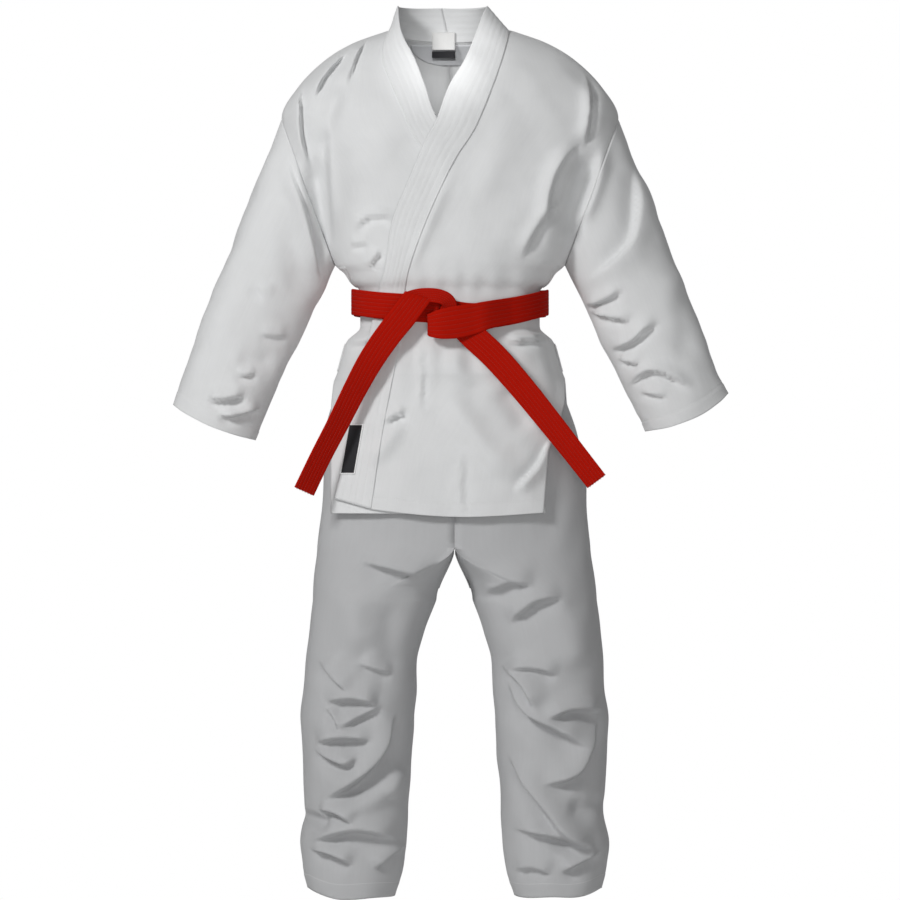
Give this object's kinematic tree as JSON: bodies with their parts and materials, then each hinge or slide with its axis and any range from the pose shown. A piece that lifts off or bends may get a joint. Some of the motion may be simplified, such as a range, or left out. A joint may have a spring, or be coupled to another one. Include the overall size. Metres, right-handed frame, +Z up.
{
  "type": "martial arts uniform",
  "caption": "White cotton martial arts uniform: crossed jacket with wide sleeves, straight trousers and a red belt tied at the front.",
  "frame": {"origin": "the middle of the neck on the shoulder line, where a body or a hanger bears the jacket", "axes": "+Z up, -Y the front, +X the wearer's left"},
  "size_m": [0.86, 0.266, 1.38],
  "materials": {
    "jacket_cotton": "bleached plain-weave cotton, matt, softly creased",
    "lining_cotton": "bleached cotton, inside facing, matt",
    "trouser_cotton": "bleached light plain-weave cotton, matt, sharply creased",
    "belt_cotton": "dyed red cotton with close rows of stitching, matt",
    "label_weave": "smooth woven label, plain",
    "black_weave": "dense black woven patch with a white merrowed edge, plain"
  },
  "bodies": {
    "jacket": {"jacket_back_left": "jacket_cotton", "jacket_back_right": "jacket_cotton", "jacket_front_left": "jacket_cotton", "jacket_front_right": "jacket_cotton", "collar_band_left": "jacket_cotton", "collar_band_right": "jacket_cotton", "neck_yoke": "lining_cotton", "size_label": "label_weave", "care_tag": "black_weave", "left_gusset": "jacket_cotton", "right_gusset": "jacket_cotton", "left_vent_patch": "jacket_cotton", "right_vent_patch": "jacket_cotton", "hem_patch": "black_weave", "belt_inner_wrap": "belt_cotton", "belt_outer_wrap": "belt_cotton", "belt_knot": "belt_cotton"},
    "left_sleeve": {"left_sleeve": "jacket_cotton"},
    "right_sleeve": {"right_sleeve": "jacket_cotton"},
    "left_belt_tail": {"left_belt_tail": "belt_cotton"},
    "right_belt_tail": {"right_belt_tail": "belt_cotton"},
    "trousers": {"waistband": "trouser_cotton", "left_seat": "trouser_cotton", "right_seat": "trouser_cotton", "crotch_gusset": "trouser_cotton"},
    "left_leg": {"left_leg": "trouser_cotton"},
    "right_leg": {"right_leg": "trouser_cotton"}
  },
  "joints": [
    {"name": "left_arm_raise", "type": "hinge", "parent": "jacket", "child": "left_sleeve", "pos_m": [0.2615, 0, -0.135], "axis": [0, -1, 0], "range_deg": [0, 60]},
    {"name": "right_arm_raise", "type": "hinge", "parent": "jacket", "child": "right_sleeve", "pos_m": [-0.2615, 0, -0.135], "axis": [0, 1, 0], "range_deg": [0, 60]},
    {"name": "left_tail_lift", "type": "hinge", "parent": "jacket", "child": "left_belt_tail", "pos_m": [0.044, -0.131, -0.486], "axis": [-0.766, 0, -0.6428], "range_deg": [0, 75]},
    {"name": "right_tail_lift", "type": "hinge", "parent": "jacket", "child": "right_belt_tail", "pos_m": [-0.08, -0.131, -0.44], "axis": [-0.8746, 0, 0.4848], "range_deg": [0, 75]},
    {"name": "trousers_pull_down", "type": "slide", "parent": "jacket", "child": "trousers", "axis": [0, 0, -1], "range_m": [0, 0.3]},
    {"name": "left_leg_swing", "type": "hinge", "parent": "trousers", "child": "left_leg", "pos_m": [0.14, 0, -0.8], "axis": [-1, 0, 0], "range_deg": [-20, 30]},
    {"name": "right_leg_swing", "type": "hinge", "parent": "trousers", "child": "right_leg", "pos_m": [-0.14, 0, -0.8], "axis": [-1, 0, 0], "range_deg": [-20, 30]}
  ]
}
